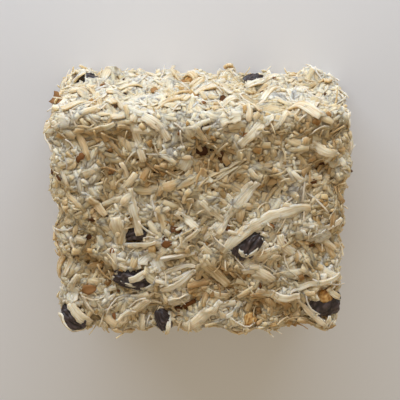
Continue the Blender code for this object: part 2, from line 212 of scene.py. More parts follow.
def block_grid(cell):
    """Corners and square faces of a box of even cells: every side is a grid of whole-number
    places, and the places that two sides share are merged into one."""
    counts = np.array([round(2 * HALF[k] / cell) for k in range(3)])
    squares = []
    for axis in range(3):
        across, along = (axis + 1) % 3, (axis + 2) % 3
        a, b = (g.ravel() for g in np.meshgrid(np.arange(counts[across]), np.arange(counts[along])))
        for end in (0, counts[axis]):
            square = np.zeros((len(a), 4, 3), int)
            square[:, :, axis] = end
            square[:, :, across] = a[:, None] + np.array((0, 1, 1, 0))
            square[:, :, along] = b[:, None] + np.array((0, 0, 1, 1))
            squares.append(square if end else square[:, ::-1])
    places, faces = np.unique(np.concatenate(squares).reshape(-1, 3), axis=0, return_inverse=True)
    return CENTRE + (places / counts * 2 - 1) * HALF, faces.reshape(-1, 4)


def new_piece(name, points, faces, mat, tones, strands=None):
    """A mesh from whole arrays that rides on the cake; tones and strands are kept with its
    points, for its material to read."""
    mesh = bpy.data.meshes.new(name)
    mesh.from_pydata(points.reshape(-1, 3), [], faces)
    layer = mesh.attributes.new("tone", "FLOAT", "POINT")
    layer.data.foreach_set("value", np.ascontiguousarray(tones, np.float32).ravel())
    if strands is not None:
        layer = mesh.attributes.new("strand", "FLOAT_VECTOR", "POINT")
        layer.data.foreach_set("vector", np.ascontiguousarray(strands, np.float32).ravel())
    mesh.materials.append(mat)
    mesh.shade_smooth()
    piece = bpy.data.objects.new(name, mesh)
    bpy.context.scene.collection.objects.link(piece)
    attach(piece, "root")
    return piece


def linear(hex_colour):
    """Linear red, green, blue and alpha of an sRGB hex colour."""
    parts = [int(hex_colour[k:k + 2], 16) / 255 for k in (1, 3, 5)]
    return (*((c / 12.92 if c <= 0.04045 else ((c + 0.055) / 1.055)**2.4) for c in parts), 1)


def add(tree, kind, inputs=None, **settings):
    """One node with its settings; inputs are values, or sockets that it is linked from."""
    made = tree.nodes.new(kind)
    for key, value in settings.items():
        setattr(made, key, value)
    for key, value in (inputs or {}).items():
        if isinstance(value, bpy.types.NodeSocket):
            tree.links.new(value, made.inputs[key])
        else:
            made.inputs[key].default_value = value
    return made


def colour_stops(ramp, stops):
    """Sets a colour ramp to the given places and hex colours."""
    band = ramp.color_ramp
    while len(band.elements) < len(stops):
        band.elements.new(1.0)
    for element, (place, hex_colour) in zip(band.elements, stops):
        element.position = place
        element.color = linear(hex_colour)
    return ramp.outputs["Color"]


STAIN_WIDTH = 7 * MM            # width of the small patches that the syrup has stained
STAIN = "#DDC08A"
FIBRE_WIDTH = 0.35 * MM         # real fibres are finer; this is the finest that shows
FIBRE_DEPTH = 0.1 * MM
FIBRE_SHADE = "#B79F74"
SCATTER_DEPTH = 1.5 * MM        # how deep light goes into dried coconut
SCATTER_REACH = (1.0, 0.8, 0.6)         # red goes deepest
DRY_ROUGHNESS, DRY_SHINE = 0.7, 0.18    # dull: next to no fat has come to the surface


def dried_coconut(name, stops, subsurface=0.75, streaks=0.0):
    """Dried coconut flesh, and what is as dry and dull among it: each piece has its own tone,
    syrup stains small patches of many pieces, and where streaks are asked for, fibres show along
    the length."""
    mat = bpy.data.materials.new(name)
    mat.use_nodes = True
    tree = mat.node_tree
    shader = tree.nodes["Principled BSDF"]
    place = add(tree, "ShaderNodeTexCoord").outputs["Object"]
    tone = add(tree, "ShaderNodeAttribute", attribute_name="tone").outputs["Fac"]
    flesh = colour_stops(add(tree, "ShaderNodeValToRGB", {"Fac": tone}), stops)
    patches = add(tree, "ShaderNodeTexNoise", {"Vector": place, "Scale": 1 / STAIN_WIDTH,
                                               "Detail": 2.0}).outputs["Fac"]
    share = add(tree, "ShaderNodeMapRange", {"Value": patches, "From Min": 0.45, "From Max": 0.62,
                                             "To Min": 0.0, "To Max": 0.3}).outputs["Result"]
    colour = add(tree, "ShaderNodeMix", {"Factor": share, "A": flesh, "B": linear(STAIN)},
                 data_type="RGBA", blend_type="MULTIPLY").outputs["Result"]
    if streaks:
        strand = add(tree, "ShaderNodeAttribute", attribute_name="strand").outputs["Vector"]
        fibre = add(tree, "ShaderNodeTexNoise", {"Vector": strand, "Scale": 1 / FIBRE_WIDTH,
                                                 "Detail": 1.0}).outputs["Fac"]
        dark = add(tree, "ShaderNodeMapRange", {"Value": fibre, "From Min": 0.3, "From Max": 0.65,
                                                "To Min": streaks, "To Max": 0.0}).outputs["Result"]
        colour = add(tree, "ShaderNodeMix", {"Factor": dark, "A": colour, "B": linear(FIBRE_SHADE)},
                     data_type="RGBA", blend_type="MULTIPLY").outputs["Result"]
        bump = add(tree, "ShaderNodeBump", {"Height": fibre, "Strength": 0.4,
                                            "Distance": FIBRE_DEPTH}).outputs["Normal"]
        tree.links.new(bump, shader.inputs["Normal"])
    tree.links.new(colour, shader.inputs["Base Color"])
    shader.inputs["Roughness"].default_value = DRY_ROUGHNESS
    shader.inputs["Specular IOR Level"].default_value = DRY_SHINE
    shader.inputs["Subsurface Weight"].default_value = subsurface
    shader.inputs["Subsurface Radius"].default_value = SCATTER_REACH
    shader.inputs["Subsurface Scale"].default_value = SCATTER_DEPTH
    return mat


# Patches of the upper side that the syrup has turned the colour of honey: x, y and radius in mm
HONEY_PATCHES = (
    (20.0, 24.0, 5.5),
    (-17.0, 22.5, 3.6),
    (11.5, -25.0, 3.2),
    (22.5, -10.0, 2.8),
    (1.0, 11.5, 3.2),
    (28.0, 3.0, 3.4),
    (-22.0, 2.0, 3.0),
    (4.0, -12.0, 4.0),
)
HONEY_STAIN, LOW_STAIN_AND_SHADE = 0.7, 0.75
HIGHLIGHT_HEIGHT = 0.3 * MM           # clumps that stand higher than this get a painted highlight, and lower ones syrup stain and painted shade
UNEVEN_STAIN = 0.3
UNEVEN_WIDTHS = ((9 * MM, 501), (19 * MM, 502))     # each with its seed
# Painted light: the far side, which faces the window, is made lighter by this much
FAR_PAINTED_LIGHT = 0.3
FAR_START, FAR_BAND = 0.85, 0.15        # where the far side begins, as shares of half the height


def stain_and_shade(points):
    """How far the coconut is darkened at each point, from -0.3 on the tops of clumps to 1: syrup
    stain and painted shade most in the pits and hollows, a painted highlight on the tops of clumps,
    syrup stain in the honey patches and uneven everywhere, and less on the far side, as painted
    light."""
    honey = np.array(HONEY_PATCHES) * MM
    places = np.column_stack((honey[:, :2], np.full(len(honey), CENTRE[2] + HALF[2])))
    distance = np.linalg.norm(points[..., None, :] - places, axis=-1) / honey[:, 2]
    patches = HONEY_STAIN * np.exp(-distance**2).max(axis=-1)
    uneven = sum(UNEVEN_STAIN * ripple(points, width, seed) for width, seed in UNEVEN_WIDTHS)
    height = relief(rounded_block(points)[0])
    # Syrup stain and painted shade in the pits and hollows, and a painted highlight on the tops of
    # clumps
    low = LOW_STAIN_AND_SHADE * np.clip((HIGHLIGHT_HEIGHT - height) / (2 * PIT_DEPTH), -0.5, 1.3)
    # Painted light: less darkening on the far side, which the window lights most
    far_painted_light = FAR_PAINTED_LIGHT * np.clip((points[..., 1] / HALF[1] - FAR_START) / FAR_BAND, 0, 1)
    return np.clip(low + patches + uneven - far_painted_light, -0.3, 1)


# Syrupy desiccated coconut, pressed: duller and browner than the loose coconut on it, and darkened
# further as painted shade in the gaps between the loose pieces
bed_mat = dried_coconut("syrupy_coconut_with_gap_shade", (
    (0.0, "#7A5C33"), (0.35, "#A98B5B"), (0.7, "#CDB388"), (1.0, "#E2D2B2")))
BED_TONE, CRUMB_STAIN_AND_SHADE, BED_STAIN_AND_SHADE = 0.6, 0.35, 0.4
BED_BATCHES = 8
bed_places, bed_faces = block_grid(BED_CELL)
crumbs = (ripple(bed_places, CRUMB_WAVE, CRUMB_SEED)
          + FINE_CRUMBS * ripple(bed_places, CRUMB_WAVE / 2, FINE_CRUMB_SEED))
bed_points, _ = coated(bed_places, CRUMB_HEIGHT * crumbs - BED_DROP)
bed_stain_and_shade = np.concatenate([
    stain_and_shade(part) for part in np.array_split(rounded_block(bed_places)[0], BED_BATCHES)])
# The bed is lighter on the tops of its crumbs and darker between them, syrup stain and painted
# shade together, and takes the stain and painted shade of each point
bed_tones = np.clip(BED_TONE + CRUMB_STAIN_AND_SHADE * crumbs - BED_STAIN_AND_SHADE * bed_stain_and_shade, 0, 1)
bed = new_piece("coconut_bed", bed_points, bed_faces, bed_mat, bed_tones)
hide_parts("cake")

# Seats of the raisins and nuts
# Where each topping is pressed in, with its own axes, so that the loose coconut can keep off it
# or lie over it.
UP, FAR, NEAR, LEFT, RIGHT, UNDER = "up", "far", "near", "left", "right", "under"
SIDE_FACING = {
    UP: (0, 0, 1), FAR: (0, 1, 0), NEAR: (0, -1, 0),
    LEFT: (-1, 0, 0), RIGHT: (1, 0, 0), UNDER: (0, 0, -1),
}
RAISIN_SINK, NUT_SINK = 0.16, 0.14      # how deep the middle is pressed in, as a share of depth
TOP_SHARE = 0.46                # a topping's top over its own middle, as a share of its depth
# Side, place in mm along it and up it, length, width and depth in mm, and turn in degrees
RAISINS = (
    (UP, -13.5, -1.8, 6.2, 4.2, 3.6, 15),
    (UP, -14.4, -12.2, 9.4, 5.6, 4.6, -8),
    (UP, 10.4, -4.0, 8.2, 5.2, 4.4, 44),
    (UP, 27.8, -19.0, 8.8, 7.6, 5.6, 20),
    (UP, -28.8, -22.2, 7.2, 5.4, 4.8, -55),
    (UP, -8.2, -23.0, 6.2, 3.6, 3.6, -72),
    (FAR, 12.2, 6.5, 6.4, 4.6, 4.2, 10),
    (FAR, -25.6, 7.0, 6.8, 4.8, 4.2, -30),
    (NEAR, 0.8, 24.0, 6.6, 4.8, 4.2, 12),
    (NEAR, 24.0, 9.5, 7.4, 5.4, 4.6, -25),
    (LEFT, 9.0, 14.0, 7.8, 5.8, 4.6, 35),
    (RIGHT, -8.0, 20.0, 7.2, 5.6, 4.6, 80),
    (RIGHT, 15.0, 9.5, 6.0, 4.6, 4.0, -15),
    (UNDER, -17.0, 11.0, 7.8, 5.6, 4.2, 30),
    (UNDER, 18.5, -12.0, 8.6, 6.0, 4.4, -40),
)
NUTS = (
    (UP, 27.4, -16.6, 4.2, 3.8, 3.4, 20),
    (UP, 11.1, -23.2, 3.8, 3.2, 3.0, 60),
    (FAR, -1.4, 6.5, 4.8, 3.6, 3.2, -20),
    (NEAR, -15.5, 12.0, 5.0, 3.8, 3.2, 35),
    (LEFT, -13.0, 21.0, 4.4, 3.6, 3.0, 10),
)


def seat(row):
    """Place on the coating of a topping, and its frame: its long axis, its side and out. On the
    upright sides x runs along the side and y is the height above the base."""
    side, x, y = row[:3]
    out = np.array(SIDE_FACING[side], float)
    if side in (UP, UNDER):
        along = np.array((1.0, 0.0, 0.0))
        place = np.array((x * MM, y * MM, THICKNESS if side == UP else 0.0))
    else:
        along = np.abs(np.cross(out, (0, 0, 1)))
        place = along * x * MM + out * max(WIDTH, HEIGHT) / 2 + np.array((0, 0, y * MM))
        place = np.where(out != 0, CENTRE + out * HALF, place)
    facing = rounded_block(place[None])[1][0]
    along = along - facing * (along @ facing)
    along /= np.linalg.norm(along)
    turn = math.radians(row[6])
    axis = math.cos(turn) * along + math.sin(turn) * np.cross(facing, along)
    return coated(place[None])[0][0], np.array((axis, np.cross(facing, axis), facing))


seats = [seat(row) for row in RAISINS + NUTS]
topping_places = np.array([place for place, _ in seats])
topping_frames = np.array([axes for _, axes in seats])
topping_sizes = np.array([row[3:6] for row in RAISINS + NUTS]) * MM
topping_sinks = np.array([RAISIN_SINK] * len(RAISINS) + [NUT_SINK] * len(NUTS))
topping_tops = topping_sizes[:, 2] * (TOP_SHARE - topping_sinks)
topping_halves = topping_sizes[:, (0, 1, 0)] / 2


def over_toppings(points):
    """Height of the raisins and nuts over the coating at each point: half an ellipsoid on the
    outline of each, and nothing past its rim."""
    away = points[..., None, :] - topping_places
    shares = np.einsum("...tk,tjk->...tj", away, topping_frames) / topping_halves
    return (topping_tops * np.sqrt(np.clip(1 - (shares**2).sum(-1), 0, 1))).max(-1)


# Desiccated grains
# Fine chips that the block was rolled in: angular bits of dried coconut about a millimetre
# across, lying every way up in the syrup.
GRAIN_SPACING = 1.3 * MM
GRAIN_SIZE = (0.8 * MM, 1.9 * MM)
GRAIN_LIFT = (-0.7 * MM, 0.1 * MM)
GRAIN_SHAPE = (1.2, 0.9, 0.6)
GRAIN_TONE, GRAIN_TONE_SPREAD, GRAIN_DEPTH_SHADE = 0.67, 0.07, 0.14
GRAIN_SEED = 41
PIECE_STAIN_AND_SHADE = 0.5               # how much darker full stain and painted shade make a piece of coconut
TABLE_GAP = (0.01 * MM, 0.2 * MM)
CHIP_LEAN, CHIP_BREAK = 0.6, 0.45       # how far chips lean, and how uneven their corners are
CHIP_CORNERS = np.array([(x, y, z) for z in (-1, 1) for y in (-1, 1) for x in (-1, 1)]) / 2
CHIP_FACES = np.array(((0, 2, 3, 1), (4, 5, 7, 6), (0, 1, 5, 4), (2, 6, 7, 3), (0, 4, 6, 2),
                       (1, 3, 7, 5)))


def pressed(points, rng):
    """Keeps pieces off the table: each stops at its own small height over it."""
    floor = rng.uniform(*TABLE_GAP, len(points))
    points[..., 2] = np.maximum(points[..., 2], floor.reshape(-1, *[1] * (points.ndim - 2)))
    return points


def chips(name, places, sizes, lifts, mat, tones, rng):
    """Angular chips: a cube's eight corners, each pushed about at random, stretched to the
    chip's three sizes, leaning any way, and set on the coating, or on a topping, at its lift."""
    count = len(places)
    on_coating, facing = coated(places)
    middles = on_coating + facing * (lifts + over_toppings(on_coating))[:, None]
    out = leaning(places) + CHIP_LEAN * rng.normal(size=(count, 3))
    out /= np.linalg.norm(out, axis=1, keepdims=True)
    along = np.cross(out, rng.normal(size=(count, 3)))
    along /= np.linalg.norm(along, axis=1, keepdims=True)
    turns = np.stack((along, np.cross(out, along), out), axis=1)
    uneven = 1 + CHIP_BREAK * rng.uniform(-1, 1, (count, len(CHIP_CORNERS), 3))
    corners = CHIP_CORNERS * uneven * sizes[:, None]
    points = pressed(middles[:, None] + corners @ turns, rng)
    faces = (np.arange(count)[:, None, None] * len(CHIP_CORNERS) + CHIP_FACES).reshape(-1, 4)
    # Each chip is darkened by syrup stain and painted shade where it lies, and lightened by painted
    # highlight on clump tops and painted light on the far side
    tones = np.clip(tones - PIECE_STAIN_AND_SHADE * stain_and_shade(places), 0, 1)
    return new_piece(name, points, faces, mat, np.repeat(tones, len(CHIP_CORNERS)))


def spread(spacing, on_toppings, rng):
    """Places strewn over the block, of which only the given share stays on raisins and nuts."""
    places = strewn(spacing, rng)
    kept = (over_toppings(coated(places)[0]) == 0) | (rng.random(len(places)) < on_toppings)
    return places[kept]


grain_rng = np.random.default_rng(GRAIN_SEED)
grain_places = spread(GRAIN_SPACING, 0.0, grain_rng)
grain_count = len(grain_places)
grain_sizes = grain_rng.uniform(*GRAIN_SIZE, (grain_count, 3)) * GRAIN_SHAPE
grain_lifts = grain_rng.uniform(*GRAIN_LIFT, grain_count)
# Grains that lie deeper are darker: syrup stain and painted shade
grain_tones = (GRAIN_TONE + GRAIN_TONE_SPREAD * grain_rng.random(grain_count)
               + GRAIN_DEPTH_SHADE * grain_lifts / -GRAIN_LIFT[0])
# Desiccated coconut: straw and cream, seldom white, as syrup has soaked it
FLESH = ((0.0, "#92734C"), (0.3, "#C4A87D"), (0.6, "#E1CDA8"), (1.0, "#FAEDD4"))
grain_mat = dried_coconut("desiccated_coconut", FLESH)
chips("desiccated_grains", grain_places, grain_sizes, grain_lifts, grain_mat,
      grain_tones, grain_rng)

# Fine and middling shreds
# Short shreds as a drum grater cuts them: flat strips, a little bent, criss-crossed over the
# grains, with many an end left standing off the surface.
FLAT_RING = np.array(((-1, -1), (1, -1), (1, 1), (-1, 1)), float)
LENS_EDGE = 0.35                # thickness at the edges, as a share of that in the middle
LENS_RING = np.array(((-1, -LENS_EDGE), (0, -1), (1, -LENS_EDGE),
                      (1, LENS_EDGE), (0, 1), (-1, LENS_EDGE)))
CUPPED_RING = np.array([(u, -1) for u in (-1, -0.5, 0, 0.5, 1)]
                       + [(u, 1) for u in (1, 0.5, 0, -0.5, -1)], float)
TOPPING_GAP = 0.55 * MM         # a shred's middle stays this far over the round of a raisin
PROUD_LIMIT = 0.7 * MM          # no shred stands further than this out of the solid block's box
box_low = np.array(cad_box[0]) - PROUD_LIMIT
box_high = np.array(cad_box[1]) + PROUD_LIMIT
UNLIMITED = (0, 0, 1)           # a metre more downwards, where the table is the limit
SLENDER = 1.6                   # the higher, the more of the shreds are short
STRAND_STRETCH = 0.12           # how far the pattern of fibres is drawn out along a shred
STRAND_STEP = 0.01              # so that no two shreds have the same fibres


def shred_rows(spacing, rng, length, width, thick, lift, tilt, end, bend, roll=0.0, cup=0.0):
    """Rows of shreds, one in each cell of a grid. Sizes are drawn evenly between two limits, but
    lengths mostly near the shorter; tilt, bend, roll and cup go either way."""
    middles = strewn(spacing, rng)
    count = len(middles)
    return {
        "middle": middles,
        "heading": rng.normal(size=(count, 3)),
        "length": length[0] + (length[1] - length[0]) * rng.random(count)**SLENDER,
        "width": rng.uniform(*width, count),
        "thick": rng.uniform(*thick, count),
        "lift": rng.uniform(*lift, count),
        "tilt": rng.uniform(-tilt, tilt, count),
        "end": end * rng.random(count)**2,
        "bend": rng.uniform(-bend, bend, count),
        "roll": rng.uniform(-roll, roll, count),
        "cup": rng.uniform(-cup, cup, count),
    }


def strip_faces(count, steps, corners):
    """Four-sided faces of closed strips: each ring joined to the next, and both ends filled by
    quads between the lower and the upper half of their ring."""
    a = np.arange(corners)
    b = (a + 1) % corners
    starts = np.arange(steps - 1)[:, None, None] * corners
    sides = (starts + np.stack((a, b, b + corners, a + corners), -1)).reshape(-1, 4)
    k = np.arange(corners // 2 - 1)
    cap = np.stack((k, k + 1, corners - 2 - k, corners - 1 - k), -1)
    one = np.concatenate((sides, cap[:, ::-1], cap + (steps - 1) * corners))
    return (np.arange(count)[:, None, None] * steps * corners + one).reshape(-1, 4)


def shreds(name, rows, steps, ring, mat, tones, rng, on_toppings=1.0, narrowing=0.3, ragged=0.16):
    """Closed strips. The middle line is a parabola laid on the coating and raised by the lift, by
    the tilt along it and by the end lift squared, or else laid over a topping. The ring is
    stretched across it, rolled about it, cupped by the square of its width and narrowed at the
    ends."""
    facing = rounded_block(rows["middle"])[1]
    heading = rows["heading"] - (rows["heading"] * facing).sum(-1, keepdims=True) * facing
    heading /= np.linalg.norm(heading, axis=-1, keepdims=True)
    share = np.linspace(-0.5, 0.5, steps)
    run = share * rows["length"][:, None]
    swing = (rows["bend"] * rows["length"])[:, None] * share**2
    laid = (rows["middle"][:, None] + run[..., None] * heading[:, None]
            + swing[..., None] * np.cross(facing, heading)[:, None])
    over = over_toppings(coated(laid)[0])
    lift = (rows["lift"][:, None] + rows["tilt"][:, None] * run
            + rows["end"][:, None] * (share + 0.5)**2)
    lift = np.where(over > 0, np.maximum(lift, over + TOPPING_GAP), lift)
    path = coated(laid, lift)[0]
    along = np.gradient(path, axis=1)
    along /= np.linalg.norm(along, axis=-1, keepdims=True)
    across = np.cross(leaning(laid), along)
    across /= np.linalg.norm(across, axis=-1, keepdims=True)
    out = np.cross(along, across)
    cos, sin = (f(rows["roll"])[:, None, None] for f in (np.cos, np.sin))
    across, out = cos * across + sin * out, cos * out - sin * across
    uneven = 1 + ragged * rng.uniform(-1, 1, path.shape[:2])
    half = rows["width"][:, None] / 2 * (1 - narrowing * np.abs(2 * share)**3) * uneven
    half = half[..., None] * ring[:, 0]
    deep = ((rows["thick"] / 2)[:, None, None] * ring[:, 1]
            + (rows["cup"] * rows["width"])[:, None, None] * ring[:, 0]**2)
    points = (path[:, :, None] + half[..., None] * across[:, :, None]
              + deep[..., None] * out[:, :, None])
    number = np.arange(len(path))[:, None, None]
    strands = np.stack(np.broadcast_arrays(
        half, STRAND_STRETCH * run[..., None], STRAND_STEP * number), -1)
    kept = ((points > box_low - UNLIMITED) & (points < box_high)).all(axis=(1, 2, 3))
    kept &= (over.max(axis=1) == 0) | (rng.random(len(path)) < on_toppings)
    points = pressed(points[kept], rng)
    # Each shred is darkened by syrup stain and painted shade where it lies, and lightened by
    # painted highlight on clump tops and painted light on the far side
    tones = np.clip(tones - PIECE_STAIN_AND_SHADE * stain_and_shade(rows["middle"]), 0, 1)[kept]
    return new_piece(name, points, strip_faces(len(points), steps, len(ring)), mat,
                     np.repeat(tones, steps * len(ring)), strands[kept])


FINE_SPACING, FINE_SEED = 1.6 * MM, 51
fine_rng = np.random.default_rng(FINE_SEED)
fine_rows = shred_rows(FINE_SPACING, fine_rng, length=(2.6 * MM, 6.0 * MM),
                       width=(0.7 * MM, 1.5 * MM), thick=(0.4 * MM, 0.7 * MM),
                       lift=(-0.15 * MM, 0.35 * MM), tilt=0.15, end=0.9 * MM, bend=0.5, roll=0.35)
# Finely grated coconut, dried: straw and cream, and white where no syrup came
fine_mat = dried_coconut("fine_grated_coconut", FLESH)
shreds("fine_shreds", fine_rows, 3, LENS_RING, fine_mat,
       0.71 + 0.09 * fine_rng.random(len(fine_rows["lift"])), fine_rng, on_toppings=0.0,
       narrowing=0.25, ragged=0.35)

MIDDLING_SPACING, MIDDLING_SEED = 2.3 * MM, 61
middling_rng = np.random.default_rng(MIDDLING_SEED)
middling_rows = shred_rows(MIDDLING_SPACING, middling_rng, length=(3.8 * MM, 8.4 * MM),
                           width=(1.1 * MM, 2.2 * MM), thick=(0.45 * MM, 0.8 * MM),
                           lift=(0.0 * MM, 0.45 * MM), tilt=0.1, end=1.1 * MM, bend=0.6, roll=0.35)
# Coarser grated coconut, dried: fibres show along the cut faces
middling_mat = dried_coconut("grated_coconut", FLESH, streaks=0.5)
shreds("middling_shreds", middling_rows, 5, LENS_RING, middling_mat,
       0.74 + 0.12 * middling_rng.random(len(middling_rows["lift"])), middling_rng,
       on_toppings=0.0, ragged=0.25)

# Loose fibres
# Hairs of coconut that came off the shreds: they lie in wisps and stand out at the edges.
HAIR_SPACING, HAIR_SEED = 3.4 * MM, 66
hair_rng = np.random.default_rng(HAIR_SEED)
hair_rows = shred_rows(HAIR_SPACING, hair_rng, length=(3.0 * MM, 7.0 * MM),
                       width=(0.22 * MM, 0.42 * MM), thick=(0.16 * MM, 0.25 * MM),
                       lift=(0.3 * MM, 0.8 * MM), tilt=0.1, end=2.2 * MM, bend=0.8)
shreds("loose_fibres", hair_rows, 6, FLAT_RING, fine_mat,
       0.5 + 0.5 * hair_rng.random(len(hair_rows["lift"])), hair_rng, on_toppings=0.5)

# Long shreds
# The long broad shreds that lie on top of the rest, cut along the nut; the ones that stand out
# of the solid block are these, in the same places.
SHRED_SPACING = 10.3 * MM
SHRED_LENGTH = (5.5 * MM, 13 * MM)
SHRED_WIDTH = (1.3 * MM, 2.3 * MM)
SHRED_PROUD = 0.75 * MM
SHRED_THICKNESS = (0.35 * MM, 0.6 * MM)
SHRED_RISE = 0.9 * MM
SHRED_BEND = 0.35
UPPER_RISE = 0.3                # end lift of the listed ones, as a share of the highest
BLOCK_SHRED_SEED = 23           # the solid block's own
LONG_SEED = 71
# Middle x and y in mm, turn in degrees, length and width in mm, and bend as a share of it
UPPER_SHREDS = (
    (6.2, 3.5, 50, 18.2, 2.0, 0.00),
    (12.8, 1.9, 30, 21.0, 2.5, -0.45),
    (-8.6, 23.2, -50, 8.0, 2.0, -0.25),
    (-12.6, 19.8, -77, 9.5, 1.7, 0.00),
    (-14.0, 3.8, -80, 11.0, 2.2, 0.08),
    (-17.4, -0.8, -84, 7.6, 2.7, 0.00),
    (-21.6, 5.2, -52, 5.5, 1.7, 0.10),
    (-26.8, 2.4, 28, 5.8, 1.8, 0.20),
    (-2.7, 2.0, -38, 5.6, 1.7, 0.00),
    (11.4, 22.4, 45, 9.5, 2.0, 0.00),
    (18.5, -4.7, -50, 7.4, 2.1, 0.55),
    (13.0, -6.9, 34, 8.0, 3.0, 0.10),
    (12.9, -10.2, -14, 7.0, 1.7, -0.70),
    (17.0, -16.4, -6, 9.5, 1.7, 0.40),
    (24.4, -20.6, -44, 9.0, 1.3, 0.15),
    (25.3, -12.8, 19, 13.5, 1.3, -0.10),
    (0.6, -21.4, 40, 11.0, 2.6, 0.00),
    (-15.3, -20.8, 38, 10.5, 2.2, 0.10),
    (3.2, -10.8, -52, 9.0, 2.2, 0.10),
    (24.5, 18.0, -20, 7.0, 2.0, 0.20),
    (-25.0, -18.5, -60, 6.5, 1.7, 0.10),
    (-4.6, -12.9, 33, 9.0, 1.3, 0.20),
)


def listed_rows(table):
    """Middles, headings, lengths and widths of the shreds listed on the upper side: the heading
    is the cosine and the sine of the turn."""
    listed = np.array(table)
    turn = np.radians(listed[:, 2])
    return {
        "middle": np.column_stack((listed[:, :2] * MM, np.full(len(listed), THICKNESS))),
        "heading": np.column_stack((np.cos(turn), np.sin(turn), 0 * turn)),
        "length": listed[:, 3] * MM,
        "width": listed[:, 4] * MM,
    }


def long_rows(rng):
    """The listed shreds of the upper side, then one in each cell of the other five, drawn as
    the solid block's are."""
    upper = listed_rows(UPPER_SHREDS)
    count = len(UPPER_SHREDS)
    block_rng = np.random.default_rng(BLOCK_SHRED_SEED)
    places = strewn(SHRED_SPACING, block_rng)
    more = len(places)
    lengths = SHRED_LENGTH[0] + (SHRED_LENGTH[1] - SHRED_LENGTH[0]) * block_rng.random(more)**2
    widths = block_rng.uniform(*SHRED_WIDTH, more)
    headings = block_rng.normal(size=(more, 3))
    bends = block_rng.uniform(-SHRED_BEND, SHRED_BEND, more)
    ends = SHRED_RISE * block_rng.random(more)
    shown = places[:, 2] < CENTRE[2] + HALF[2]
    total = count + shown.sum()
    return {
        "middle": np.concatenate((upper["middle"], places[shown])),
        "heading": np.concatenate((upper["heading"], headings[shown])),
        "length": np.concatenate((upper["length"], lengths[shown])),
        "width": np.concatenate((upper["width"], widths[shown])),
        "thick": rng.uniform(*SHRED_THICKNESS, total),
        "lift": np.full(total, SHRED_PROUD),
        "tilt": np.zeros(total),
        "end": np.concatenate((np.full(count, UPPER_RISE * SHRED_RISE), ends[shown])),
        "bend": np.concatenate((np.array(UPPER_SHREDS)[:, 5], bends[shown])),
        "roll": rng.uniform(-0.15, 0.15, total),
        "cup": rng.uniform(-0.1, 0.1, total),
    }


long_rng = np.random.default_rng(LONG_SEED)
rows = long_rows(long_rng)
# Coconut cut along the grain, dried: the brightest pieces, with plain fibres
long_mat = dried_coconut("long_cut_coconut", FLESH, streaks=0.6)
long_tones = long_rng.uniform(0.6, 1.0, len(rows["lift"]))
UPPER_BRIGHTER = 0.35
long_tones[:len(UPPER_SHREDS)] += UPPER_BRIGHTER
shreds("long_shreds", rows, 14, CUPPED_RING, long_mat, long_tones, long_rng)

# Slivers
# Narrow shreds of the upper side that catch the eye: split off the long ones, or lying in fans.
# Middle x and y in mm, turn in degrees, length and width in mm, and bend as a share of it
SLIVERS = (
    (-18.4, -8.0, -87, 6.5, 1.2, 0.05),
    (-2.8, -2.4, 43, 7.2, 1.0, 0.10),
    (-13.2, -4.2, 8, 8.0, 0.9, 0.45),
    (6.4, 13.6, 37, 7.5, 0.6, 0.00),
    (5.4, 12.2, 30, 6.0, 0.5, 0.10),
    (7.6, 12.8, 47, 6.5, 0.5, -0.10),
    (3.6, 12.4, 22, 5.0, 0.6, 0.00),
    (8.2, 7.6, 48, 8.0, 0.9, 0.05),
    (6.6, 6.4, -42, 4.8, 1.4, 0.00),
    (2.6, 4.4, -45, 6.5, 1.5, 0.00),
    (-5.0, -9.6, 14, 8.0, 1.0, -0.20),
    (-4.6, -6.8, 4, 7.0, 0.9, 0.20),
    (-3.4, -11.2, 22, 5.5, 0.8, 0.10),
    (28.6, -22.8, 70, 3.4, 0.9, 0.40),
    (21.8, 14.0, -55, 7.0, 1.0, 0.00),
    (29.4, 17.0, -70, 6.0, 1.4, 0.10),
    (27.5, 0.8, 30, 7.0, 1.2, 0.00),
    (-29.3, 13.6, -52, 8.5, 0.8, -0.10),
    (-29.4, 4.6, -40, 6.5, 0.9, 0.00),
    (-28.4, -13.6, 50, 6.5, 1.3, 0.10),
    (-21.6, -25.0, -80, 4.6, 1.5, 0.00),
    (-29.0, -9.0, 66, 5.0, 1.0, 0.20),
    (16.0, 24.0, 60, 6.0, 1.0, 0.10),
    (0.4, 21.0, -60, 5.0, 1.2, 0.10),
    (-20.0, 22.4, 20, 6.5, 1.2, 0.20),
    (3.0, -15.8, -20, 7.0, 1.2, 0.20),
    (8.0, -20.6, 35, 6.0, 1.0, 0.20),
    (-30.1, -23.4, -58, 6.4, 2.6, 0.05),
    (-26.6, -20.8, -52, 7.4, 2.2, 0.00),
    (-28.0, -25.0, -10, 5.0, 1.4, 0.10),
    (11.7, -5.4, 40, 7.0, 2.3, 0.10),
    (-9.4, -22.0, 66, 5.0, 1.5, 0.10),
    (-7.0, -23.4, 80, 4.6, 1.0, 0.10),
    (-12.2, -10.4, 20, 6.4, 1.6, 0.10),
    (-15.6, -13.0, -14, 7.4, 1.1, -0.10),
    (29.6, -15.6, -34, 4.2, 1.3, 0.10),
)
SLIVER_SEED = 76
sliver_rng = np.random.default_rng(SLIVER_SEED)
sliver_count = len(SLIVERS)
sliver_rows = listed_rows(SLIVERS) | {
    "thick": sliver_rng.uniform(0.3 * MM, 0.45 * MM, sliver_count),
    "lift": np.full(sliver_count, SHRED_PROUD),
    "tilt": np.zeros(sliver_count),
    "end": sliver_rng.uniform(0, 0.5 * MM, sliver_count),
    "bend": np.array(SLIVERS)[:, 5],
    "roll": sliver_rng.uniform(-0.3, 0.3, sliver_count),
    "cup": np.zeros(sliver_count),
}
shreds("slivers", sliver_rows, 10, CUPPED_RING, long_mat,
       sliver_rng.uniform(0.9, 1.3, sliver_count), sliver_rng)

